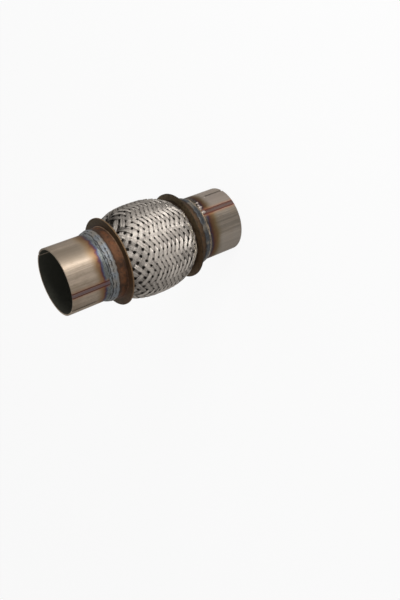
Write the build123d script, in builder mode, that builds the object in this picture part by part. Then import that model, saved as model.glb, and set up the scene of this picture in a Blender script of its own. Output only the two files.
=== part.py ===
from build123d import *
import math
import os

os.makedirs("parts", exist_ok=True)

# Overall sizes, in millimetres. The pipe stands on its lower mouth with its axis along Z.
overall_length = 160.0
core_length = 83.0

# Stub tubes
stub_outer_radius = 27.0
stub_wall = 1.5
slot_width = 1.8
upper_slot_length = 21.0
lower_slot_length = 18.0
upper_slot_angle = 21.0
lower_slot_angle = -38.0

# Weld beads
bead_width = 6.5
bead_crown = 0.3
bead_toe_share = 0.42

# Interlock liner, wound from strip whose turns lap one another
liner_bore_radius = 25.0
liner_thickness = 2.1
liner_pitch = 8.2
liner_lap_depth = 0.8
liner_lap_width = 3.2
liner_plain_end = 9.0

# Bellows, with cuffs that seat on the liner's plain ends
bellows_wall = 0.4
bellows_root_clearance = 0.4
bellows_crest_radius = 35.4
bellows_pitch = 9.4
bellows_crest_flat = 3.0
bellows_root_flat = 2.6
bellows_lead = 3.0

# Braid, held at each end between a bellows cuff and a collar
braid_wall = 0.5
braid_relief = 0.5
braid_belly_radius = 38.2
braid_fullness = 2.74
braid_lead = 0.4
braid_clearance = 0.3
belly_strand_angle = 68.0
strand_count = 12
strand_fill = 0.86
gap_share = 0.2
float_depth = 2.2

# End collars
collar_wall = 0.8
collar_neck_length = 8.0
flange_radius = 35.7
flange_thickness = 1.0
collar_corner = 0.5

# Sizes that follow
stub_bore_radius = stub_outer_radius - stub_wall
stub_length = (overall_length - core_length) / 2
lower_joint = stub_length
upper_joint = overall_length - stub_length
middle = overall_length / 2
liner_outer_radius = liner_bore_radius + liner_thickness
cuff_outer_radius = liner_outer_radius + bellows_wall
band_outer_radius = cuff_outer_radius + braid_wall
neck_outer_radius = band_outer_radius + collar_wall
neck_end = lower_joint + collar_neck_length
flange_end = neck_end + flange_thickness
barrel_start = flange_end + braid_lead
barrel_end = overall_length - barrel_start
half_barrel = middle - barrel_start


def barrel_radius(height):
    """Outer radius of the braid's wall, under its raised strands."""
    share = min(abs(height - middle) / half_barrel, 1.0)
    rise = braid_belly_radius - braid_relief - band_outer_radius
    return band_outer_radius + rise * (1 - share**braid_fullness)


def barrel_slope(height):
    """Change of the barrel's radius with height."""
    step = 0.01
    return (barrel_radius(height + step) - barrel_radius(height - step)) / (2 * step)


def barrel_point(height, lift):
    """Point of the barrel's profile, moved out square to it by lift."""
    slope = barrel_slope(height)
    scale = lift / math.hypot(1.0, slope)
    return (barrel_radius(height) + scale, height - slope * scale)


def strand_angle(height):
    """Angle between a strand and the meridian, for strands that keep their length."""
    belly = math.sin(math.radians(belly_strand_angle))
    share = barrel_radius(height) / barrel_radius(middle)
    return math.asin(belly * share)


def strand_turn(height):
    """Degrees that a strand turns round the pipe between the middle and this height."""
    steps = 60
    span = (height - middle) / steps
    turn = 0.0
    for index in range(steps):
        level = middle + (index + 0.5) * span
        run = span * math.hypot(1.0, barrel_slope(level))
        turn += math.degrees(run * math.tan(strand_angle(level)) / barrel_radius(level))
    return turn


def height_at_turn(turn):
    """Height at which a strand has turned by this many degrees."""
    low = barrel_start
    high = barrel_end
    for _ in range(30):
        guess = (low + high) / 2
        if strand_turn(guess) < turn:
            low = guess
        else:
            high = guess
    return (low + high) / 2


def barrel_plane(height, degrees):
    """Plane on the barrel's wall: Z outwards, Y up the meridian, X round the pipe."""
    radius, level = barrel_point(height, 0.0)
    slope = barrel_slope(height)
    swing = math.radians(degrees)
    spot = (radius * math.cos(swing), radius * math.sin(swing), level)
    outward = (math.cos(swing), math.sin(swing), -slope)
    around = (-math.sin(swing), math.cos(swing), 0.0)
    return Plane(origin=spot, x_dir=around, z_dir=outward)


def strand_patch(height, along, across, lean):
    """Corners of a patch whose sides run along the two strand directions."""
    angle = strand_angle(height)
    half_step = math.pi * barrel_radius(height) / strand_count / math.sin(angle) / 2
    round_part = math.sin(angle) * half_step * lean
    up_part = math.cos(angle) * half_step
    corners = []
    for along_sign, across_sign in ((1, 1), (1, -1), (-1, -1), (-1, 1)):
        x_value = round_part * (along_sign * along - across_sign * across)
        y_value = up_part * (along_sign * along + across_sign * across)
        corners.append((x_value, y_value))
    return corners


# Stub tubes, each with two saw cuts open at its mouth, so that it can close on a pipe
with BuildPart() as lower_stub:
    with BuildSketch(Plane.XY):
        Circle(stub_outer_radius)
        Circle(stub_bore_radius, mode=Mode.SUBTRACT)
    extrude(amount=stub_length)
    with BuildSketch(Plane.XZ.rotated((0, 0, lower_slot_angle + 90))):
        with Locations((0, lower_slot_length - slot_width / 2)):
            Circle(slot_width / 2)
        with Locations((0, lower_slot_length / 2 - slot_width / 2)):
            Rectangle(slot_width, lower_slot_length)
    extrude(amount=stub_outer_radius * 1.1, both=True, mode=Mode.SUBTRACT)
lower_stub.part.label = "lower_stub"

with BuildPart() as upper_stub:
    with BuildSketch(Plane.XY.offset(upper_joint)):
        Circle(stub_outer_radius)
        Circle(stub_bore_radius, mode=Mode.SUBTRACT)
    extrude(amount=stub_length)
    mouth_plane = Plane((0, 0, overall_length), x_dir=(1, 0, 0), z_dir=(0, -1, 0))
    with BuildSketch(mouth_plane.rotated((0, 0, upper_slot_angle + 90))):
        with Locations((0, slot_width / 2 - upper_slot_length)):
            Circle(slot_width / 2)
        with Locations((0, slot_width / 2 - upper_slot_length / 2)):
            Rectangle(slot_width, upper_slot_length)
    extrude(amount=stub_outer_radius * 1.1, both=True, mode=Mode.SUBTRACT)
upper_stub.part.label = "upper_stub"

# Weld beads, run round each stub against the end of the flexible section
with BuildPart() as lower_weld_bead:
    with BuildSketch(Plane.XZ):
        with BuildLine():
            bead_toe = (stub_outer_radius, lower_joint - bead_width)
            bead_root = (stub_outer_radius, lower_joint)
            bead_top = (neck_outer_radius, lower_joint)
            bead_mid = (neck_outer_radius + bead_crown, lower_joint - bead_width * bead_toe_share)
            Line(bead_toe, bead_root)
            Line(bead_root, bead_top)
            ThreePointArc(bead_top, bead_mid, bead_toe)
        make_face()
    revolve(axis=Axis.Z)
lower_weld_bead.part.label = "lower_weld_bead"

# End collars: a neck crimped over the braid's end, and a flat flange turned outwards
with BuildPart() as lower_collar:
    with BuildSketch(Plane.XZ):
        with BuildLine():
            neck_foot_in = (band_outer_radius, lower_joint)
            neck_foot_out = (neck_outer_radius, lower_joint)
            neck_corner = (neck_outer_radius, neck_end - collar_corner)
            flange_corner = (neck_outer_radius + collar_corner, neck_end)
            rim_under = (flange_radius, neck_end)
            rim_over = (flange_radius, flange_end)
            neck_mouth = (band_outer_radius, flange_end)
            Polyline(neck_foot_in, neck_foot_out, neck_corner, flange_corner)
            Polyline(flange_corner, rim_under, rim_over, neck_mouth, neck_foot_in)
        make_face()
    revolve(axis=Axis.Z)
lower_collar.part.label = "lower_collar"

# Interlock liner: plain ends, and between them the laps of the wound strip
with BuildPart() as liner:
    with BuildSketch(Plane.XY.offset(lower_joint)):
        Circle(liner_outer_radius)
        Circle(liner_bore_radius, mode=Mode.SUBTRACT)
    extrude(amount=core_length)
    lap_count = int((core_length - 2 * liner_plain_end) / liner_pitch) + 1
    with BuildSketch(Plane.XZ):
        for index in range(lap_count):
            level = middle + (index - (lap_count - 1) / 2) * liner_pitch
            with BuildLine():
                lap_edge = (liner_bore_radius, level + liner_lap_width / 2)
                lap_depth = (liner_bore_radius + liner_lap_depth, level + liner_lap_width / 2)
                lap_start = (liner_bore_radius, level - liner_lap_width / 2)
                Polyline(lap_edge, lap_depth, lap_start, close=True)
            make_face()
    revolve(axis=Axis.Z, mode=Mode.SUBTRACT)
liner.part.label = "interlock_liner"

# Bellows: two cuffs, and convolutions whose crests stay under the braid
with BuildPart() as bellows:
    root_outer_radius = cuff_outer_radius + bellows_root_clearance
    root_inner_radius = liner_outer_radius + bellows_root_clearance
    fold_span = core_length - 2 * (collar_neck_length + flange_thickness + bellows_lead)
    fold_count = int(fold_span / bellows_pitch)
    flank = (bellows_pitch - bellows_crest_flat - bellows_root_flat) / 2
    half_crest = bellows_crest_flat / 2
    half_fold = half_crest + flank
    inner_crest = half_crest - bellows_wall / 2
    inner_fold = half_fold - bellows_wall / 2
    outer_path = [(cuff_outer_radius, lower_joint), (cuff_outer_radius, barrel_start)]
    inner_path = [(liner_outer_radius, lower_joint), (liner_outer_radius, barrel_start)]
    for index in range(fold_count):
        level = middle + (index - (fold_count - 1) / 2) * bellows_pitch
        outer_edge = middle - abs(level - middle) - half_crest
        depth = (braid_wall + braid_clearance) * math.hypot(1.0, barrel_slope(outer_edge))
        crest = min(bellows_crest_radius, barrel_radius(outer_edge) - depth)
        outer_path.append((root_outer_radius, level - half_fold))
        outer_path.append((crest, level - half_crest))
        outer_path.append((crest, level + half_crest))
        outer_path.append((root_outer_radius, level + half_fold))
        inner_path.append((root_inner_radius, level - inner_fold))
        inner_path.append((crest - bellows_wall, level - inner_crest))
        inner_path.append((crest - bellows_wall, level + inner_crest))
        inner_path.append((root_inner_radius, level + inner_fold))
    outer_path += [(cuff_outer_radius, barrel_end), (cuff_outer_radius, upper_joint)]
    inner_path += [(liner_outer_radius, barrel_end), (liner_outer_radius, upper_joint)]
    with BuildSketch(Plane.XZ):
        with BuildLine():
            Polyline(*outer_path, *reversed(inner_path), close=True)
        make_face()
    revolve(axis=Axis.Z)
bellows.part.label = "bellows"

# Braid: one barrel wall, with the strands' floats raised on it and gaps where they cross
profile_count = 9
wall_outer = [(band_outer_radius, barrel_start)]
wall_inner = [(cuff_outer_radius, barrel_start)]
layer_outer = []
layer_inner = []
for index in range(profile_count):
    swing = math.cos(math.pi * index / (profile_count - 1))
    wall_height = middle - half_barrel * swing
    layer_height = middle - (half_barrel - braid_lead) * swing
    if 0 < index < profile_count - 1:
        wall_outer.append(barrel_point(wall_height, 0.0))
        wall_inner.append(barrel_point(wall_height, -braid_wall))
    layer_outer.append(barrel_point(layer_height, braid_relief))
    layer_inner.append(barrel_point(layer_height, -braid_wall / 2))
wall_outer.append((band_outer_radius, barrel_end))
wall_inner.append((cuff_outer_radius, barrel_end))

# Rows where the strands cross, counted from the middle of the barrel
row_turn = 180.0 / strand_count
row_limit = strand_turn(barrel_end) / row_turn
last_row = int(row_limit) + 1

# Each float passes over two strands of the other direction, in bands along the pipe
with BuildPart() as float_blocks:
    for row_index in range(-last_row, last_row):
        row = row_index + 0.5
        if abs(row) > row_limit + 0.2:
            continue
        height = height_at_turn(row_turn * row)
        lean = 1 if row_index % 2 == 0 else -1
        first_place = 1.5 - lean
        planes = []
        for group in range(strand_count // 2):
            planes.append(barrel_plane(height, row_turn * (first_place + 4 * group)))
        with BuildSketch(*planes):
            patch = strand_patch(height, 2 * math.sqrt(strand_fill), strand_fill, lean)
            Polygon(*patch, align=None)
        extrude(amount=float_depth, both=True)

with BuildPart() as strand_relief:
    with BuildSketch(Plane.XZ):
        with BuildLine():
            Spline(*layer_outer)
            Spline(*layer_inner)
            Line(layer_outer[0], layer_inner[0])
            Line(layer_outer[-1], layer_inner[-1])
        make_face()
    revolve(axis=Axis.Z)
    add(float_blocks.part, mode=Mode.INTERSECT)

with BuildPart() as braid:
    with BuildSketch(Plane.XZ):
        with BuildLine():
            Spline(*wall_outer)
            upper_band = [(band_outer_radius, upper_joint), (cuff_outer_radius, upper_joint)]
            Polyline(wall_outer[-1], *upper_band, wall_inner[-1])
            Spline(*wall_inner)
            lower_band = [(cuff_outer_radius, lower_joint), (band_outer_radius, lower_joint)]
            Polyline(wall_inner[0], *lower_band, wall_outer[0])
        make_face()
    revolve(axis=Axis.Z)
    add(strand_relief.part)
    for row_index in range(-last_row, last_row + 1):
        if row_index % 2 == 0 or abs(row_index) > row_limit - 0.5:
            continue
        height = height_at_turn(row_turn * row_index)
        planes = []
        for place in range(strand_count):
            planes.append(barrel_plane(height, row_turn * 2 * place))
        with BuildSketch(*planes):
            Polygon(*strand_patch(height, 2 * gap_share, 2 * gap_share, 1), align=None)
        extrude(amount=float_depth, both=True, mode=Mode.SUBTRACT)
braid.part.label = "braid"

# The upper bead and collar mirror the lower ones
middle_plane = Plane.XY.offset(middle)
with BuildPart() as upper_weld_bead:
    add(mirror(lower_weld_bead.part, about=middle_plane, mode=Mode.PRIVATE))
upper_weld_bead.part.label = "upper_weld_bead"

with BuildPart() as upper_collar:
    add(mirror(lower_collar.part, about=middle_plane, mode=Mode.PRIVATE))
upper_collar.part.label = "upper_collar"

export_step(lower_stub.part, "parts/lower_stub.step")
export_step(upper_stub.part, "parts/upper_stub.step")
export_step(lower_weld_bead.part, "parts/lower_weld_bead.step")
export_step(upper_weld_bead.part, "parts/upper_weld_bead.step")
export_step(lower_collar.part, "parts/lower_collar.step")
export_step(upper_collar.part, "parts/upper_collar.step")
export_step(liner.part, "parts/interlock_liner.step")
export_step(bellows.part, "parts/bellows.step")
export_step(braid.part, "parts/braid.step")
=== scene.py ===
import math
import random

import bpy
import numpy as np
from mathutils import Matrix, Vector, noise


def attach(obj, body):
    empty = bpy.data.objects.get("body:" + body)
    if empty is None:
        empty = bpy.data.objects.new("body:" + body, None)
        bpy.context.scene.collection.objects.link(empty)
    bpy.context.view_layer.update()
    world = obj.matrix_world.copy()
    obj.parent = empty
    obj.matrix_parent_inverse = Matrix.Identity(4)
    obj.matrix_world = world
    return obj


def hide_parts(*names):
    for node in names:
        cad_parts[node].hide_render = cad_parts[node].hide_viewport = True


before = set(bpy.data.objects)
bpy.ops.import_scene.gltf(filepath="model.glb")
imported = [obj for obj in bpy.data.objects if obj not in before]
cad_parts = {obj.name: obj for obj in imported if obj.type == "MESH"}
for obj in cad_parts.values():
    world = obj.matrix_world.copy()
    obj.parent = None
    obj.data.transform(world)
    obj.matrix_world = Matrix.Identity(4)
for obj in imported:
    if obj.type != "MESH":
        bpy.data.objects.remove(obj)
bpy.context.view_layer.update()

# Sizes in millimetres, the same as the solids have. JOINT, where a stub meets the middle part, and
# FLANGE_END count from the nearer mouth.
MM = 0.001
LENGTH = 160.0
MIDDLE = LENGTH / 2
JOINT = 38.5
FLANGE_END = 47.5
STUB_R = 27.0
BORE_R = 25.5
NECK_R = 28.8
FLANGE_R = 35.7

# The surface in the middle of the braid's thickness: a barrel that starts just past the flanges
HALF_BARREL = MIDDLE - FLANGE_END - 0.4
MID_BAND = 27.75
MID_BELLY = 37.42
FULLNESS = 2.74

# The weave: wires lie side by side in strands, which lean by BELLY_ANGLE from the axis at the belly and
# less where the barrel is narrower. HALF_STEP is half the turn from one strand to the next.
STRANDS = 24
WIRES = 7
WIRE_R = 0.205
BELLY_ANGLE = 69.3
LEAN_POWER = 1.7
WEAVE_LIFT = 0.42
WEAVE_SHARPNESS = 2.8
HALF_STEP = math.pi / STRANDS

rng = random.Random(7)


def theta(phi):
    """Model angle in radians of a place in degrees round the pipe from the side that faces the camera."""
    return math.radians(-90.0 - phi)


# Materials

def tone(red, green, blue):
    """A screen colour, 0 to 255 each, as the linear values that a shader takes."""
    out = []
    for value in (red, green, blue):
        share = value / 255
        out.append(share / 12.92 if share <= 0.04045 else ((share + 0.055) / 1.055) ** 2.4)
    return tuple(out)


class Graph:
    """Short names for the nodes of one material or of the world."""

    def __init__(self, tree):
        self.tree = tree
        tree.nodes.clear()

    def node(self, kind, **settings):
        made = self.tree.nodes.new(kind)
        for key, value in settings.items():
            setattr(made, key, value)
        return made

    def plug(self, socket, value):
        """A worked out value is linked to the socket, a plain one is set on it."""
        if isinstance(value, bpy.types.NodeSocket):
            self.tree.links.new(value, socket)
        else:
            socket.default_value = value

    def math(self, operation, first, second=0.0):
        made = self.node("ShaderNodeMath", operation=operation)
        self.plug(made.inputs[0], first)
        self.plug(made.inputs[1], second)
        return made.outputs[0]

    def plus(self, first, second):
        return self.math("ADD", first, second)

    def minus(self, first, second):
        return self.math("SUBTRACT", first, second)

    def times(self, first, second):
        return self.math("MULTIPLY", first, second)

    def gap(self, first, second):
        """The distance between two values."""
        return self.math("ABSOLUTE", self.minus(first, second))

    def step(self, value, start, end):
        """0 up to start, 1 from end on, smooth between. Start may lie above end."""
        made = self.node("ShaderNodeMapRange", interpolation_type="SMOOTHSTEP")
        self.plug(made.inputs["Value"], value)
        made.inputs["From Min"].default_value = min(start, end)
        made.inputs["From Max"].default_value = max(start, end)
        if start > end:
            made.inputs["To Min"].default_value = 1.0
            made.inputs["To Max"].default_value = 0.0
        return made.outputs["Result"]

    def line(self, value, centre, edge, core):
        """1 within core of the centre, 0 further off than edge."""
        return self.step(self.gap(value, centre), edge, core)

    def ramp(self, value, stops):
        """A colour for each value, from (position, colour) stops."""
        made = self.node("ShaderNodeValToRGB")
        elements = made.color_ramp.elements
        while len(elements) < len(stops):
            elements.new(0.5)
        for element, (position, colour) in zip(elements, stops):
            element.position = position
            element.color = (*colour, 1.0)
        self.plug(made.inputs[0], value)
        return made.outputs[0]

    def mix(self, share, first, second, blend="MIX"):
        """The first colour where the share is 0 and the second where it is 1."""
        made = self.node("ShaderNodeMix", data_type="RGBA", blend_type=blend)
        self.plug(made.inputs[0], share)
        for socket, colour in ((made.inputs[6], first), (made.inputs[7], second)):
            self.plug(socket, colour if isinstance(colour, bpy.types.NodeSocket) else (*colour, 1.0))
        return made.outputs[2]

    def paint(self, under, mask, strength, over):
        """Lay a colour over another where the mask is 1, at this strength."""
        return self.mix(self.times(mask, strength), under, over)

    def background_rays(self):
        """1 for the rays that see the background: camera, glossy and transmission."""
        path = self.node("ShaderNodeLightPath")
        bent = self.math("MAXIMUM", path.outputs["Is Glossy Ray"], path.outputs["Is Transmission Ray"])
        return self.math("MAXIMUM", path.outputs["Is Camera Ray"], bent)


class Surface(Graph):
    """A new material with one principled shader."""

    def __init__(self, name):
        self.mat = bpy.data.materials.new(name)
        self.mat.use_nodes = True
        super().__init__(self.mat.node_tree)
        self.output = self.node("ShaderNodeOutputMaterial")
        self.shader = self.node("ShaderNodeBsdfPrincipled")
        self.plug(self.output.inputs["Surface"], self.shader.outputs["BSDF"])

    def shade(self, values):
        """Give the shader its values and hand over the material."""
        for socket, value in values.items():
            self.plug(self.shader.inputs[socket], value)
        return self.mat


class PipeSurface(Surface):
    """A material that knows each point's place on the pipe, in millimetres."""

    def __init__(self, name):
        super().__init__(name)
        coords = self.node("ShaderNodeTexCoord")
        scale = self.node("ShaderNodeVectorMath", operation="SCALE")
        self.plug(scale.inputs[0], coords.outputs["Object"])
        scale.inputs["Scale"].default_value = 1 / MM
        self.place = scale.outputs[0]
        split = self.node("ShaderNodeSeparateXYZ")
        self.plug(split.inputs[0], self.place)
        x, y, self.z = split.outputs
        self.radius = self.math("SQRT", self.plus(self.times(x, x), self.times(y, y)))
        self.angle = self.math("ARCTAN2", y, x)
        self.from_middle = self.gap(self.z, MIDDLE)
        self.from_mouth = self.minus(MIDDLE, self.from_middle)

    def noise(self, scale, detail=3.0, rough=0.5, stretch=None):
        """Noise over the pipe, with a scale for each axis in stretch."""
        place = self.place
        if stretch:
            mapping = self.node("ShaderNodeMapping")
            self.plug(mapping.inputs["Vector"], place)
            mapping.inputs["Scale"].default_value = stretch
            place = mapping.outputs[0]
        made = self.node("ShaderNodeTexNoise")
        self.plug(made.inputs["Vector"], place)
        made.inputs["Scale"].default_value = scale
        made.inputs["Detail"].default_value = detail
        made.inputs["Roughness"].default_value = rough
        return made.outputs["Fac"]

    def sway(self, scale, detail, rough, width, stretch=None):
        """Noise as a shift to either side, this wide from end to end."""
        return self.times(self.minus(self.noise(scale, detail, rough, stretch), 0.5), width)

    def sector(self, phi, start, end):
        """1 on the side of the pipe at phi, 0 away from it, between two cosines of the angle off it."""
        return self.step(self.math("COSINE", self.minus(self.angle, theta(phi))), start, end)

    def half(self, lower):
        """1 on the lower or the upper half of the pipe, 0 on the other, blended at the middle."""
        reach = 5.0 if lower else -5.0
        return self.step(self.z, MIDDLE + reach, MIDDLE - reach)

    def bump(self, height, strength, distance):
        made = self.node("ShaderNodeBump")
        made.inputs["Strength"].default_value = strength
        made.inputs["Distance"].default_value = distance
        self.plug(made.inputs["Height"], height)
        return made.outputs["Normal"]


def stub_material(name, look):
    """Drawn steel tube: lengthwise streaks, painted light and shade on its sides, heat tints towards
    the weld, a welded seam, a dark bore.
    """
    g = PipeSurface(name)
    streaks = g.noise(1.0, 6.0, 0.75, (0.55, 0.55, 0.008))
    fine = g.noise(1.0, 3.0, 0.6, (3.2, 3.2, 0.03))
    mottled = g.noise(0.06, 3.0, 0.6)
    spots = g.noise(0.55, 5.0, 0.7, (1.0, 1.0, 0.45))
    colour = g.mix(g.step(streaks, 0.28, 0.72), look["dark"], look["light"])
    colour = g.paint(colour, g.step(fine, 0.52, 0.72), 0.22, tone(205, 190, 172))
    colour = g.paint(colour, g.step(mottled, 0.45, 0.7), 0.3, tone(112, 96, 76))
    colour = g.paint(colour, g.step(spots, 0.50, 0.66), 0.28, tone(104, 92, 80))
    # Painted light and shade on the sides of the tube
    for phi, start, end, strength, over in look["sides"]:
        colour = g.paint(colour, g.sector(phi, start, end), strength, over)

    # Heat tints, by distance from the mouth. Their edge has slow waves and short teeth, and lies
    # further out on one side. Beyond them is the weld's crust.
    slow = g.sway(0.11, 2.0, 0.5, 4.0)
    teeth = g.sway(0.42, 3.0, 0.6, 3.4)
    widened = g.times(g.sector(look["wide_side"], 0.2, 0.9), 1.6)
    shifted = g.plus(g.plus(g.from_mouth, widened), g.plus(slow, teeth))
    heat = g.ramp(g.math("DIVIDE", shifted, TINT_SPAN), look["tints"])
    colour = g.mix(g.step(g.plus(g.from_mouth, slow), 18.0, 26.0), colour, heat)
    # Painted shade over the tints on the top side
    top_side_shade = g.times(g.sector(-88.0, 0.5, 1.0), g.step(shifted, 22.0, 28.0))
    colour = g.paint(colour, top_side_shade, 0.6, tone(70, 58, 48))
    crust = g.mix(g.step(g.noise(0.8, 4.0, 0.7), 0.35, 0.65), *look["crust"])
    colour = g.mix(g.step(shifted, 30.9, 31.6), colour, crust)

    # The seam: a strip between two dark heat lines. Across is the distance from its middle
    turned = g.minus(g.angle, theta(look["seam"]))
    facing = g.math("GREATER_THAN", g.math("COSINE", turned), 0.0)
    wander = g.sway(0.15, 2.0, 0.5, 0.9, (0.0, 0.0, 1.0))
    across = g.math("ABSOLUTE", g.plus(g.times(g.math("SINE", turned), g.radius), wander))
    halo = g.mix(0.55, colour, tone(104, 84, 62), "MULTIPLY")
    glow = g.times(g.step(across, 4.6, 2.4), facing)
    lines = g.times(g.times(g.step(across, 0.95, 1.4), g.step(across, 2.5, 1.95)), facing)
    strip = g.times(g.step(across, 1.3, 0.9), facing)
    ridges = g.times(g.line(across, 0.45, 0.30, 0.10), facing)
    colour = g.paint(colour, g.sector(look["seam"], 0.55, 1.0), 0.45, halo)
    colour = g.paint(colour, glow, 0.35, tone(128, 88, 62))
    colour = g.paint(colour, lines, 0.9, tone(66, 32, 28))
    colour = g.paint(colour, strip, 0.8, look["seam_tone"])
    colour = g.paint(colour, ridges, 0.40, tone(44, 32, 34))

    bore = g.step(g.radius, BORE_R + 0.35, BORE_R + 0.1)
    colour = g.mix(bore, colour, g.mix(g.noise(0.2), tone(50, 51, 45), tone(70, 69, 62)))
    rough = g.plus(g.plus(0.43, g.times(streaks, 0.14)), g.times(bore, 0.35))
    height = g.minus(g.plus(g.times(fine, 0.25), strip), g.times(lines, 0.8))
    return g.shade({
        "Base Color": colour,
        "Metallic": 0.7,
        "Roughness": rough,
        "Specular IOR Level": 0.2,
        "Specular Tint": (0.45, 0.43, 0.40, 1.0),
        "Anisotropic": 0.64,
        "Anisotropic Rotation": 0.25,
        "Tangent": g.node("ShaderNodeTangent", direction_type="RADIAL", axis="Z").outputs[0],
        "Normal": g.bump(height, 0.35, 0.0002),
    })


# Rows of slag dashes: depth below the joint, half width outside and inside, noise scale and limits
SLAG_ROWS = [
    (4.9, 0.55, 0.20, 0.20, 0.24, 0.34),
    (2.6, 0.50, 0.15, 0.30, 0.44, 0.52),
    (6.2, 0.50, 0.15, 0.30, 0.54, 0.60),
]


def weld_material():
    """Weld metal: slate-blue oxide with rows of short slag dashes, brighter at the lower bead's toe."""
    g = PipeSurface("weld_metal")
    lower = g.half(lower=True)
    spots = g.noise(0.9, 4.0, 0.6)
    colour = g.mix(spots, tone(76, 79, 82), tone(116, 120, 124))
    # Painted shade on the top side of the beads
    colour = g.paint(colour, g.sector(-80.0, 0.35, 0.95), 0.55, tone(62, 62, 62))
    colour = g.paint(colour, lower, 0.9, tone(36, 38, 40))
    colour = g.paint(colour, g.step(g.noise(0.12), 0.42, 0.62), 0.6, tone(104, 96, 84))
    toe = g.step(g.minus(g.from_mouth, g.times(lower, 0.6)), JOINT - 4.4, JOINT - 5.6)
    colour = g.paint(colour, toe, 0.85, g.mix(lower, tone(86, 89, 90), tone(154, 136, 114)))

    wavy = g.plus(g.from_mouth, g.sway(0.4, 2.0, 0.6, 2.6))
    slag = 0.0
    for depth, edge, core, scale, start, end in SLAG_ROWS:
        dashes = g.times(g.line(wavy, JOINT - depth, edge, core), g.step(g.noise(scale, 1.0), start, end))
        slag = g.math("MAXIMUM", slag, dashes)
    return g.shade({
        "Base Color": g.paint(colour, slag, 0.92, tone(28, 26, 24)),
        "Metallic": 0.4,
        "Roughness": g.plus(0.42, g.times(spots, 0.25)),
        "Specular IOR Level": 0.25,
        "Normal": g.bump(g.minus(spots, slag), 0.5, 0.0003),
    })


def collar_material():
    """Pressed steel browned by welding heat: a rusty neck and an olive-brown flange face."""
    g = PipeSurface("collar_steel")
    lower = g.half(lower=True)
    broad = g.noise(0.06, 4.0, 0.6)
    fine = g.noise(0.7, 4.0, 0.65)
    rays = g.noise(1.0, 3.0, 0.6, (0.5, 0.5, 0.05))
    patches = g.step(g.noise(0.22, 5.0, 0.7), 0.44, 0.60)
    rust = g.times(g.line(g.from_mouth, JOINT + 4.6, 2.6, 0.8), patches)
    beside_weld = g.step(g.from_mouth, JOINT + 2.2, JOINT + 0.6)
    neck = g.mix(g.step(broad, 0.35, 0.65), tone(52, 37, 27), tone(92, 62, 42))
    neck = g.paint(neck, lower, 0.6, tone(76, 62, 42))
    neck = g.paint(neck, rays, 0.5, tone(58, 46, 38))
    # Painted shade along the top side of the neck
    neck = g.paint(neck, g.sector(-80.0, 0.45, 0.95), 0.65, tone(34, 27, 22))
    neck = g.paint(neck, rust, 0.4, tone(112, 68, 40))
    neck = g.paint(neck, beside_weld, 0.6, tone(44, 33, 27))

    face = g.mix(broad, tone(42, 34, 21), tone(66, 53, 34))
    face = g.paint(face, fine, 0.3, tone(74, 52, 35))
    face = g.paint(face, lower, 0.55, tone(98, 85, 64))
    face = g.paint(face, g.sector(50.0, 0.5, 1.0), 0.35, tone(92, 62, 40))
    colour = g.mix(g.step(g.radius, NECK_R + 0.8, NECK_R + 2.2), neck, face)

    # A painted highlight along the crease between neck and flange, on the side towards the key lamp
    crease_highlight = g.times(g.line(g.radius, NECK_R + 0.3, 0.32, 0.1), g.step(fine, 0.3, 0.55))
    specks = g.step(g.noise(0.35, 5.0, 0.75), 0.50, 0.62)
    # A painted highlight on the upper flange's rim, and painted shade on the lower flange's rim that dims
    # its highlight
    upper_rim_highlight = g.times(g.step(g.radius, FLANGE_R - 0.35, FLANGE_R - 0.1), g.half(lower=False))
    lower_rim_shade = g.times(g.step(g.radius, FLANGE_R - 0.5, FLANGE_R - 0.2), lower)
    colour = g.paint(colour, g.times(crease_highlight, g.sector(-50.0, 0.3, 0.9)), 0.6, tone(150, 124, 98))
    colour = g.paint(colour, specks, 0.55, tone(36, 29, 24))
    colour = g.paint(colour, upper_rim_highlight, 0.30, tone(140, 114, 86))
    colour = g.paint(colour, lower_rim_shade, 0.7, tone(34, 27, 20))
    return g.shade({
        "Base Color": colour,
        "Metallic": 0.5,
        "Roughness": g.plus(0.54, g.times(fine, 0.24)),
        "Specular IOR Level": 0.12,
        "Normal": g.bump(fine, 0.4, 0.0003),
    })


def braid_material():
    """Bright stainless wire, with painted shade and dirt in the recesses, painted shade on its top and
    lower sides, and a slightly different shade for each wire.
    """
    g = PipeSurface("braid_wire")
    fine = g.noise(1.1, 2.0)
    shade = g.node("ShaderNodeAttribute", attribute_type="GEOMETRY", attribute_name="strand_shade")
    colour = g.mix(shade.outputs["Fac"], tone(70, 67, 64), tone(207, 199, 190))
    colour = g.paint(colour, fine, 0.25, tone(132, 122, 112))

    # Painted shade, with some dirt, darkens the recesses below the middle surface of the barrel
    share = g.math("MINIMUM", g.math("DIVIDE", g.from_middle, HALF_BARREL), 1.0)
    fall = g.times(g.math("POWER", share, FULLNESS), MID_BELLY - MID_BAND)
    depth = g.minus(g.radius, g.minus(MID_BELLY, fall))
    strength = g.plus(0.14, g.times(g.step(g.from_middle, 24.0, 8.0), 0.14))
    colour = g.paint(colour, g.step(depth, 0.16, -0.14), strength, tone(40, 35, 30))
    # Painted shade on the top side and on the lower side
    colour = g.paint(colour, g.sector(-88.0, 0.35, 1.0), 0.54, tone(58, 54, 50))
    colour = g.paint(colour, g.sector(78.0, 0.5, 1.0), 0.30, tone(58, 54, 50))
    colour = g.paint(colour, g.step(g.from_middle, 27.0, MIDDLE - FLANGE_END), 0.3, tone(96, 80, 64))
    return g.shade({
        "Base Color": colour,
        "Metallic": 0.85,
        "Roughness": g.plus(0.46, g.times(fine, 0.14)),
        "Specular IOR Level": 0.2,
        "Specular Tint": (0.5, 0.48, 0.46, 1.0),
    })


def mottled_steel(name, dark, light, metallic, rough):
    """Steel with little to show: inside the bore, behind the braid, or in small bits."""
    g = PipeSurface(name)
    cloud = g.noise(0.3, 3.0, 0.6)
    return g.shade({
        "Base Color": g.mix(cloud, dark, light),
        "Metallic": metallic,
        "Roughness": g.plus(rough, g.times(cloud, 0.15)),
    })
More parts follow.
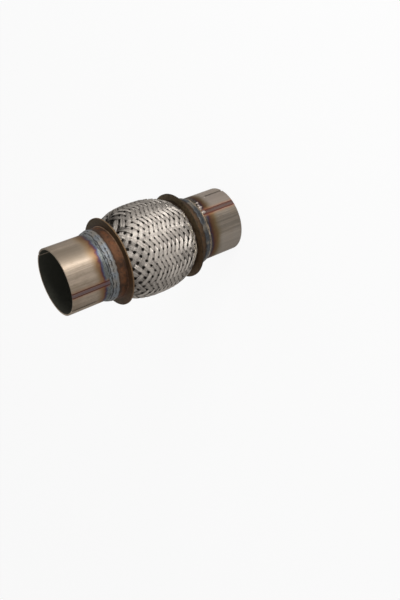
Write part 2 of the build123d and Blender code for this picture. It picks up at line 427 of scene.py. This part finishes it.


# What differs between the stubs. Sides are painted light and shade round the tube, darker or lighter
# where the light falls: place, two cosines, strength and tone. Tints are stops along it, as shares of
# TINT_SPAN from the mouth.
TINT_SPAN = 40.0
UPPER_LOOK = {
    "dark": tone(128, 116, 102),
    "light": tone(168, 153, 137),
    "sides": [
        # Painted shade on the side where the key lamp's highlight falls, to dim it
        (-30.0, 0.93, 0.985, 0.85, tone(112, 101, 88)),
        # Painted shade along the top side
        (-88.0, 0.5, 1.0, 0.5, tone(84, 76, 68)),
    ],
    "wide_side": 45.0,
    "tints": [
        (0.48, tone(133, 118, 100)),
        (0.62, tone(121, 100, 76)),
        (0.685, tone(114, 87, 63)),
        (0.71, tone(100, 70, 55)),
        (0.725, tone(82, 54, 56)),
        (0.745, tone(64, 58, 78)),
        (0.77, tone(80, 86, 98)),
    ],
    "crust": (tone(78, 81, 80), tone(112, 115, 112)),
    "seam": 36.0,
    "seam_tone": tone(92, 78, 82),
}
LOWER_LOOK = {
    "dark": tone(92, 86, 79),
    "light": tone(126, 117, 107),
    "sides": [
        # Painted light on the side towards the top
        (-52.0, 0.80, 0.97, 0.6, tone(158, 147, 138)),
        # Painted light on the side towards the bottom
        (58.0, 0.80, 0.98, 0.35, tone(156, 147, 137)),
    ],
    "wide_side": -60.0,
    "tints": [
        (0.50, tone(103, 95, 79)),
        (0.61, tone(95, 79, 55)),
        (0.70, tone(80, 57, 40)),
        (0.745, tone(62, 40, 38)),
        (0.77, tone(48, 42, 58)),
        (0.79, tone(62, 62, 66)),
    ],
    "crust": (tone(52, 50, 48), tone(92, 84, 74)),
    "seam": -17.5,
    "seam_tone": tone(66, 53, 52),
}

collar_steel = collar_material()
weld_metal = weld_material()
braid_wire = braid_material()
loose_wire = mottled_steel("loose_wire", tone(172, 161, 144), tone(214, 204, 188), 0.8, 0.32)
bright_weld = mottled_steel("bright_weld", tone(104, 94, 88), tone(168, 155, 146), 0.6, 0.42)

for node, mat in {
    "upper_stub": stub_material("upper_stub_steel", UPPER_LOOK),
    "lower_stub": stub_material("lower_stub_steel", LOWER_LOOK),
    "upper_collar": collar_steel,
    "lower_collar": collar_steel,
    "bellows": mottled_steel("bellows_steel", tone(26, 23, 20), tone(44, 40, 35), 0.7, 0.45),
    "interlock_liner": mottled_steel("liner_steel", tone(40, 38, 34), tone(70, 66, 58), 0.6, 0.45),
}.items():
    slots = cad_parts[node].data.materials
    slots.clear()
    slots.append(mat)

# Rounded edges on the cut steel, and their widths
EDGES = {"upper_collar": 0.18, "lower_collar": 0.18, "upper_stub": 0.12, "lower_stub": 0.12}
for node, width in EDGES.items():
    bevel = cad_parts[node].modifiers.new("edge", "BEVEL")
    bevel.width = width * MM
    bevel.segments = 2
    bevel.limit_method = "ANGLE"
    bevel.angle_limit = math.radians(50)
    bevel.use_clamp_overlap = True


# Pieces

def link(name, data):
    """An object in the scene for a mesh, a lamp or a camera."""
    made = bpy.data.objects.new(name, data)
    bpy.context.scene.collection.objects.link(made)
    return made


def new_piece(name, points, quads, caps, mat, slot, nodes=()):
    """A smooth shaded mesh piece that rides the pipe, from points in millimetres.

    Its faces are the quads and the caps, which close open ends and all have as many corners.
    """
    mesh = bpy.data.meshes.new(name)
    points = np.asarray(points, dtype=np.float32) * MM
    corners = []
    starts = []
    placed = 0
    for faces in (quads, caps):
        if len(faces):
            faces = np.asarray(faces, dtype=np.int32)
            corners.append(faces.ravel())
            starts.append(placed + np.arange(0, faces.size, faces.shape[1], dtype=np.int32))
            placed += faces.size
    corners = np.concatenate(corners)
    starts = np.concatenate(starts).astype(np.int32)
    mesh.vertices.add(len(points))
    mesh.vertices.foreach_set("co", points.ravel())
    mesh.loops.add(len(corners))
    mesh.loops.foreach_set("vertex_index", corners)
    mesh.polygons.add(len(starts))
    mesh.polygons.foreach_set("loop_start", starts)
    mesh.polygons.foreach_set("use_smooth", np.ones(len(starts), dtype=bool))
    mesh.update(calc_edges=True)
    mesh.validate()
    mesh.materials.append(mat)
    piece = link(name, mesh)
    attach(piece, "root")
    if nodes:
        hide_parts(*nodes)
    return piece


def unit(vectors):
    """The vectors at length 1."""
    return vectors / np.linalg.norm(vectors, axis=1)[:, None]


class Tubes:
    """Round wires with closed ends, gathered into one mesh."""

    def __init__(self, sides):
        self.sides = sides
        self.placed = 0
        self.points = []
        self.quads = []
        self.caps = []

    def add(self, path, outward, radius, first_side):
        """One wire along a path, with the direction away from the pipe and where its sides start."""
        count = len(path)
        along = unit(np.gradient(path, axis=0))
        across = unit(np.cross(along, outward))
        outward = np.cross(across, along)
        for side in range(self.sides):
            turn = 2 * math.pi * (side + first_side) / self.sides
            self.points.append(path + radius * (math.cos(turn) * across + math.sin(turn) * outward))
        rows = [self.placed + side * count for side in range(self.sides)]
        steps = np.arange(count - 1)
        for row, other in zip(rows, rows[1:] + rows[:1]):
            corners = [row + steps, row + steps + 1, other + steps + 1, other + steps]
            self.quads.append(np.stack(corners, 1))
        self.caps.append(rows)
        self.caps.append([row + count - 1 for row in reversed(rows)])
        self.placed += self.sides * count

    def mesh(self):
        return np.concatenate(self.points), np.concatenate(self.quads), self.caps


def barrel_r(z):
    """Radius of the braid's middle surface at a height."""
    share = np.clip(np.abs(z - MIDDLE) / HALF_BARREL, 0.0, 1.0)
    return MID_BAND + (MID_BELLY - MID_BAND) * (1 - share**FULLNESS)


# Heights along the braid, which starts inside the collars' necks, and how far a strand has turned at each
LEVELS = 1601
BRAID_START = JOINT + 3.0
levels = np.linspace(BRAID_START, LENGTH - BRAID_START, LEVELS)
radii = barrel_r(levels)
slopes = np.gradient(radii, levels)
leans = np.arcsin(math.sin(math.radians(BELLY_ANGLE)) * (radii / MID_BELLY) ** LEAN_POWER)
rate = np.hypot(1.0, slopes) * np.tan(leans) / radii
turns = np.concatenate([[0.0], np.cumsum((rate[1:] + rate[:-1]) / 2 * np.diff(levels))])
turns -= np.interp(MIDDLE, levels, turns)

# Distance between neighbouring strands, square to them, and how wide apart they are, from 0 to 1. Where
# they are wide apart, a strand fills a smaller share of it and is pinched less between two holes.
SPREAD_RANGE = 2.2
spacings = 2 * HALF_STEP * radii * np.cos(leans)
spread = np.clip((spacings - spacings.min()) / SPREAD_RANGE, 0.0, 1.0)
pitches = (spacings * (0.875 - 0.225 * spread) - 2 * WIRE_R) / (WIRES - 1)
pinches = 0.21 - 0.11 * spread

# Points along a wire and round it, the turn that puts the holes where the photograph has them, and the
# length beside a flange over which the weave flattens out
WIRE_SAMPLES = 234
WIRE_SIDES = 5
PATTERN_TURN = math.radians(-4.3)
FLATTENED_END = 4.0

# How much strands differ: sideways drift, share of their width, roll, and the darkest one's shade
STRAND_DRIFT = 0.07
STRAND_SQUEEZE = 0.06
STRAND_ROLL = 0.09
STRAND_SHADE = 0.62

# The patch near the upper collar where strands are pushed out of line: its centre and half its size,
# then how far a strand is shifted, twisted, darkened by painted shadow and sunk there at most
DENT_SWING = theta(-55.0)
DENT_Z = 107.0
DENT_HALF_TURN = 0.46
DENT_HALF_HEIGHT = 6.5
DENT_SHIFT = 1.5
DENT_TWIST = 0.35
DENT_SHADOW = 1.2
DENT_SINK = 0.9


def drifting(most, waves):
    """A slow random drift along a strand, a sum of waves."""
    t = np.linspace(0, 1, WIRE_SAMPLES)
    total = np.zeros(WIRE_SAMPLES)
    for _ in range(waves):
        size = rng.uniform(-most, most)
        total += size * np.sin(2 * math.pi * (rng.uniform(0.5, 4.0) * t + rng.random()))
    return total


def strand_wires(lean, first):
    """Wires of every second strand that leans one way, woven two over and two under, and their shades."""
    tubes = Tubes(WIRE_SIDES)
    shades = []
    turn_line = np.linspace(turns[0], turns[-1], WIRE_SAMPLES)
    z_line = np.interp(turn_line, turns, levels)
    pitch_line = np.interp(z_line, levels, pitches)
    pinch_line = np.interp(z_line, levels, pinches)
    spread_line = np.interp(z_line, levels, spread)
    slope_line = np.interp(z_line, levels, slopes)
    lean_line = np.interp(z_line, levels, leans)
    for strand in range(first, STRANDS, 2):
        drift = drifting(STRAND_DRIFT, 2)
        squeeze = 1.0 + STRAND_SQUEEZE * drifting(1.0, 1)
        roll = rng.uniform(-STRAND_ROLL, STRAND_ROLL)
        shade = rng.uniform(STRAND_SHADE, 1.0)
        strand_turn = 2 * HALF_STEP * strand

        # The dent is 1 at the centre of the disturbed patch and fades out round it
        away = strand_turn + lean * turn_line + PATTERN_TURN - DENT_SWING
        away = (away + math.pi) % (2 * math.pi) - math.pi
        dent = np.exp(-(away / DENT_HALF_TURN)**2 - ((z_line - DENT_Z) / DENT_HALF_HEIGHT)**2)
        drift = drift + rng.uniform(-DENT_SHIFT, DENT_SHIFT) * dent
        twist = rng.uniform(-DENT_TWIST, DENT_TWIST) * dent
        shadow = rng.choice((0.0, DENT_SHADOW)) * dent
        sink = rng.uniform(0.0, DENT_SINK) * dent
        for wire in range(WIRES):
            # The wire's distance from the strand's middle, smaller beside the holes
            place = wire - (WIRES - 1) / 2
            beside = turn_line / HALF_STEP - lean * np.sign(place) * np.sin(lean_line) ** 2
            pinch = (0.5 + 0.5 * np.cos(2 * math.pi * beside)) ** 4
            side = place * pitch_line * squeeze * (1.0 - pinch_line * pinch) + drift
            z = z_line - lean * side * np.sin(lean_line) / np.hypot(1.0, slope_line)
            r = barrel_r(z)
            swing = strand_turn + lean * turn_line + side * np.cos(lean_line) / r

            # The weave lifts or sinks it, as the strands of the other direction pass
            other = (swing + lean * np.interp(z, levels, turns)) / (2 * HALF_STEP)
            phase = 2 * math.pi * (strand + other - 0.5) / 4
            wave = np.tanh(WEAVE_SHARPNESS * np.cos(phase)) / math.tanh(WEAVE_SHARPNESS)
            lift = lean * WEAVE_LIFT * wave + rng.uniform(-0.02, 0.02) + (roll + twist) * side
            flat = np.clip((MIDDLE - np.abs(z - MIDDLE) - FLANGE_END) / FLATTENED_END, 0.0, 1.0)
            lift = lift * (0.25 + 0.75 * flat) - sink

            # From the barrel's surface to the wire's own path
            swing = swing + PATTERN_TURN
            slope = np.interp(z, levels, slopes)
            run = np.hypot(1.0, slope)
            far = r + lift / run
            path = np.stack([far * np.cos(swing), far * np.sin(swing), z - lift * slope / run], 1)
            outward = np.stack([np.cos(swing) / run, np.sin(swing) / run, -slope / run], 1)
            tubes.add(path, outward, WIRE_R, 0.5)

            # Wires differ in tone, most where strands are wide apart. Outer wires get painted shade,
            # deepest beside the holes, and wires in the dent get painted shadow.
            outer = wire in (0, WIRES - 1)
            streak = rng.uniform(-0.1, 0.1) * (1.0 + 3.0 * spread_line)
            own_shade = np.clip(shade + streak - shadow - outer * (0.14 + 0.6 * pinch), 0.0, 1.0)
            shades.append(np.tile(own_shade, WIRE_SIDES))
    return tubes, np.concatenate(shades)


# The braid in four pieces: the way its strands lean and the first of them
BRAID_PIECES = {
    "braid_wires_right_even": (1, 0),
    "braid_wires_right_odd": (1, 1),
    "braid_wires_left_even": (-1, 0),
    "braid_wires_left_odd": (-1, 1),
}
for name, (lean, first) in BRAID_PIECES.items():
    tubes, shades = strand_wires(lean, first)
    piece = new_piece(name, *tubes.mesh(), braid_wire, "braid_steel", ["braid"])
    attribute = piece.data.attributes.new("strand_shade", "FLOAT", "POINT")
    attribute.data.foreach_set("value", shades.astype(np.float32))


# The weld beads: sections round the ring, steps across one, and the bead's width, crown and ripples
BEAD_SECTIONS = 720
BEAD_STEPS = 18
BEAD_WIDTH = 6.5
BEAD_CROWN = 0.42
BEAD_RIPPLES = 96
RIPPLE_HEIGHT = 0.10
LUMP_HEIGHT = 0.12
GROOVE_DEPTH = 0.38
GROOVE_HALF_WIDTH = 0.45


def bead_section(swing, upper):
    """Section of a weld bead at an angle, as radius and height, from its toe on the stub to the neck.

    Its crown is rough and rippled, and its toe, groove and lap onto the neck wander.
    """
    seed = 31.0 if upper else 7.0
    spot = Vector((math.cos(swing) * 3.0, math.sin(swing) * 3.0, seed))
    toe = JOINT - BEAD_WIDTH + 0.9 * noise.noise(spot * 2.2)
    lap = JOINT + 0.25 + 0.75 * noise.noise(spot * 3.1 + Vector((5, 0, 0)))
    groove = JOINT - 3.0 + 0.8 * noise.noise(spot * 4.0 + Vector((0, 9, 0)))
    ripple = 0.5 + 0.5 * math.cos(BEAD_RIPPLES * swing + 1.5 * noise.noise(spot * 3.0))
    out = []
    for step in range(BEAD_STEPS):
        share = step / (BEAD_STEPS - 1)
        reach = toe + (lap - toe) * share
        base = STUB_R if reach < JOINT else NECK_R
        crown = math.sin(math.pi * share) ** 0.6
        lump = noise.noise(spot * 9.0 + Vector((0, 0, reach)))
        top = STUB_R + (NECK_R - STUB_R) * min(share / 0.8, 1.0) + BEAD_CROWN * crown
        top += RIPPLE_HEIGHT * crown * ripple + LUMP_HEIGHT * crown * lump
        top -= GROOVE_DEPTH * math.exp(-((reach - groove) / GROOVE_HALF_WIDTH) ** 2) * crown
        at_end = step in (0, BEAD_STEPS - 1)
        out.append((max(top, base - 0.05 if at_end else base + 0.02), reach))

    # Its back lies inside the steel of the stub and the neck
    out.append((NECK_R - 0.3, lap - 0.3))
    out.append((STUB_R - 0.1, JOINT - 0.05))
    out.append((STUB_R - 0.1, toe + 0.2))
    if upper:
        return [(radius, LENGTH - reach) for radius, reach in out]
    return out


def weld_bead(upper):
    """Points and faces of a bead, a closed ring of sections."""
    points = []
    quads = []
    for index in range(BEAD_SECTIONS):
        swing = 2 * math.pi * index / BEAD_SECTIONS
        section = bead_section(swing, upper)
        size = len(section)
        here = index * size
        there = (index + 1) % BEAD_SECTIONS * size
        for radius, height in section:
            points.append((radius * math.cos(swing), radius * math.sin(swing), height))
        for step in range(size):
            after = (step + 1) % size
            quad = (here + step, there + step, there + after, here + after)
            quads.append(quad[::-1] if upper else quad)
    return points, quads, ()


for upper, name in ((True, "upper_weld_bead"), (False, "lower_weld_bead")):
    new_piece(name + "_rippled", *weld_bead(upper), weld_metal, "weld", [name])


# The loose wires: some at random, and these arcs, each given by the place round the pipe and the height
# over the flange of its two ends, its bow and its rise
LOOSE_R = 0.22
LOOSE_SAMPLES = 14
LOOSE_SIDES = 5
LOOSE_RANDOM = 11
LOOSE_ARCS = [
    (17.0, 3.6, 49.0, 8.6, -2.6, 1.7),
    (-9.0, 4.2, 10.0, 2.9, -0.6, 1.4),
    (3.0, 6.0, 22.0, 3.0, 0.4, 1.4),
    (27.0, 5.8, 42.0, 2.6, 0.0, 1.2),
    (-24.0, 4.6, -12.0, 3.4, 0.8, 1.3),
]


def loose_wires():
    """Broken wires that stand a little off the braid beside the lower collar."""
    tubes = Tubes(LOOSE_SIDES)
    arcs = list(LOOSE_ARCS)
    for _ in range(LOOSE_RANDOM):
        start = rng.uniform(-50.0, 55.0)
        foot = rng.uniform(2.0, 6.0)
        stop = start + rng.choice((-1, 1)) * rng.uniform(3.0, 12.0)
        tip = foot + rng.uniform(-1.0, 3.0)
        arcs.append((start, foot, stop, tip, rng.uniform(-1.0, 1.0), rng.uniform(0.4, 1.1)))
    t = np.linspace(0.0, 1.0, LOOSE_SAMPLES)
    for start, foot, stop, tip, bow, rise in arcs:
        z = FLANGE_END + foot + (tip - foot) * t + bow * np.sin(math.pi * t)
        r = barrel_r(z) + WEAVE_LIFT + rise * np.sin(math.pi * t) ** 0.8
        swing = np.radians(-90.0 - start - (stop - start) * t)
        path = np.stack([r * np.cos(swing), r * np.sin(swing), z], 1)
        outward = np.stack([np.cos(swing), np.sin(swing), np.zeros(LOOSE_SAMPLES)], 1)
        tubes.add(path, outward, LOOSE_R, 0.0)
    return tubes.mesh()


new_piece("loose_wire_ends", *loose_wires(), loose_wire, "braid_steel")


# Each drop of weld metal: place round the pipe, height and size
SPATTER = [
    (-41.0, 29.6, 1.1),
    (-35.0, 30.4, 0.9),
    (-30.0, 30.2, 1.3),
    (-26.0, 31.2, 0.8),
    (-18.5, 30.6, 1.5),
]
DROP_RINGS = 8
DROP_SIDES = 14
DROP_LENGTH = 1.25
DROP_HEIGHT = 0.42


def spatter_drops():
    """Drops of weld metal that froze on the lower stub beside the bead: flat lumps, with closed ends."""
    points = []
    quads = []
    caps = []
    for phi, reach, size in SPATTER:
        rows = [len(points) + ring * DROP_SIDES for ring in range(DROP_RINGS)]
        for ring in range(DROP_RINGS):
            fall = math.pi * (ring + 0.5) / DROP_RINGS
            for side in range(DROP_SIDES):
                turn = 2 * math.pi * side / DROP_SIDES
                around = math.sin(fall) * math.cos(turn)
                along = math.sin(fall) * math.sin(turn) * DROP_LENGTH
                out = math.cos(fall) * DROP_HEIGHT
                lump = 1.0 + 0.45 * noise.noise(Vector((around * 2 + phi, along * 2, out * 2 + reach)))
                radius = STUB_R + size * out * lump
                swing = theta(phi) + size * around * lump / STUB_R
                height = reach + size * along * lump
                points.append((radius * math.cos(swing), radius * math.sin(swing), height))
        for low, high in zip(rows, rows[1:]):
            for side in range(DROP_SIDES):
                after = (side + 1) % DROP_SIDES
                quads.append((low + side, high + side, high + after, low + after))
        caps.append([rows[0] + side for side in range(DROP_SIDES)])
        caps.append([rows[-1] + side for side in reversed(range(DROP_SIDES))])
    return points, quads, caps


new_piece("weld_spatter", *spatter_drops(), bright_weld, "weld")


# Floor, light and camera

# In metres from here on. The floor lies just below the pipe, and the background's rays see this share
# of plain white in it. The world lights with WORLD_LIGHT.
FLOOR_HALF = 30.0
FLOOR_Z = -0.0002
FLOOR_WHITE = 0.9
WORLD_LIGHT = 0.45


def lay_floor():
    """A pale floor that reads as white and keeps a soft shadow."""
    g = Surface("pale_floor")
    grey = (0.86, 0.86, 0.86, 1.0)
    mat = g.shade({"Base Color": grey, "Roughness": 0.9, "Specular IOR Level": 0.2})
    white = g.node("ShaderNodeEmission")
    white.inputs["Color"].default_value = (1, 1, 1, 1)
    white.inputs["Strength"].default_value = 1.0
    blend = g.node("ShaderNodeMixShader")
    g.plug(blend.inputs[0], g.times(g.background_rays(), FLOOR_WHITE))
    g.plug(blend.inputs[1], g.shader.outputs[0])
    g.plug(blend.inputs[2], white.outputs[0])
    g.plug(g.output.inputs["Surface"], blend.outputs[0])

    mesh = bpy.data.meshes.new("floor")
    corners = [(x * FLOOR_HALF, y * FLOOR_HALF, 0) for x, y in ((-1, -1), (1, -1), (1, 1), (-1, 1))]
    mesh.from_pydata(corners, [], [(0, 1, 2, 3)])
    mesh.materials.append(mat)
    plane = link("floor", mesh)
    plane.location.z = FLOOR_Z


def light_world():
    """A white world: full strength for the background's rays, weaker as light."""
    world = bpy.data.worlds.new("studio")
    bpy.context.scene.world = world
    world.use_nodes = True
    g = Graph(world.node_tree)
    background = g.node("ShaderNodeBackground")
    background.inputs["Color"].default_value = (1, 1, 1, 1)
    seen = g.times(g.background_rays(), 1.0 - WORLD_LIGHT)
    g.plug(background.inputs["Strength"], g.plus(WORLD_LIGHT, seen))
    g.plug(g.node("ShaderNodeOutputWorld").inputs["Surface"], background.outputs[0])


# Each lamp: name, place, the point it faces, width and height, power
LAMPS = [
    ("key", (0.475, -0.836, 0.15), (0, 0, 0.09), (0.38, 0.30), 11.4),
    ("fill", (-0.8, -0.6, 0.6), (0, 0, 0.08), (0.8, 0.8), 0.8),
    ("top", (0.5, 0.2, 1.1), (0, 0, 0.08), (0.7, 0.7), 1.1),
]

# The camera, fitted to the photograph: focal length in pixels of the picture's height, axes and place
FOCAL_PIXELS = 714.27
PICTURE_HEIGHT = 600.0
SENSOR = 36.0
CAMERA_RIGHT = Vector((-0.38608911, -0.47095453, -0.79318159))
CAMERA_UP = Vector((0.92158934, -0.15954646, -0.35386157))
CAMERA_PLACE = Vector((-0.03262, -0.51328, 0.34375))

lay_floor()
light_world()
for name, place, target, size, power in LAMPS:
    lamp = bpy.data.lights.new(name, "AREA")
    lamp.shape = "RECTANGLE"
    lamp.size, lamp.size_y = size
    lamp.energy = power
    holder = link(name, lamp)
    holder.location = place
    holder.rotation_mode = "QUATERNION"
    holder.rotation_quaternion = (Vector(target) - Vector(place)).to_track_quat("-Z", "Y")

lens = bpy.data.cameras.new("camera")
lens.sensor_fit = "AUTO"
lens.sensor_width = SENSOR
lens.lens = SENSOR * FOCAL_PIXELS / PICTURE_HEIGHT
lens.clip_start = 0.01
lens.clip_end = 100.0
camera = link("camera", lens)
aim = Matrix((CAMERA_RIGHT, CAMERA_UP, CAMERA_RIGHT.cross(CAMERA_UP))).transposed().to_4x4()
aim.translation = CAMERA_PLACE
camera.matrix_world = aim
bpy.context.scene.camera = camera
bpy.context.scene.view_settings.view_transform = "Standard"
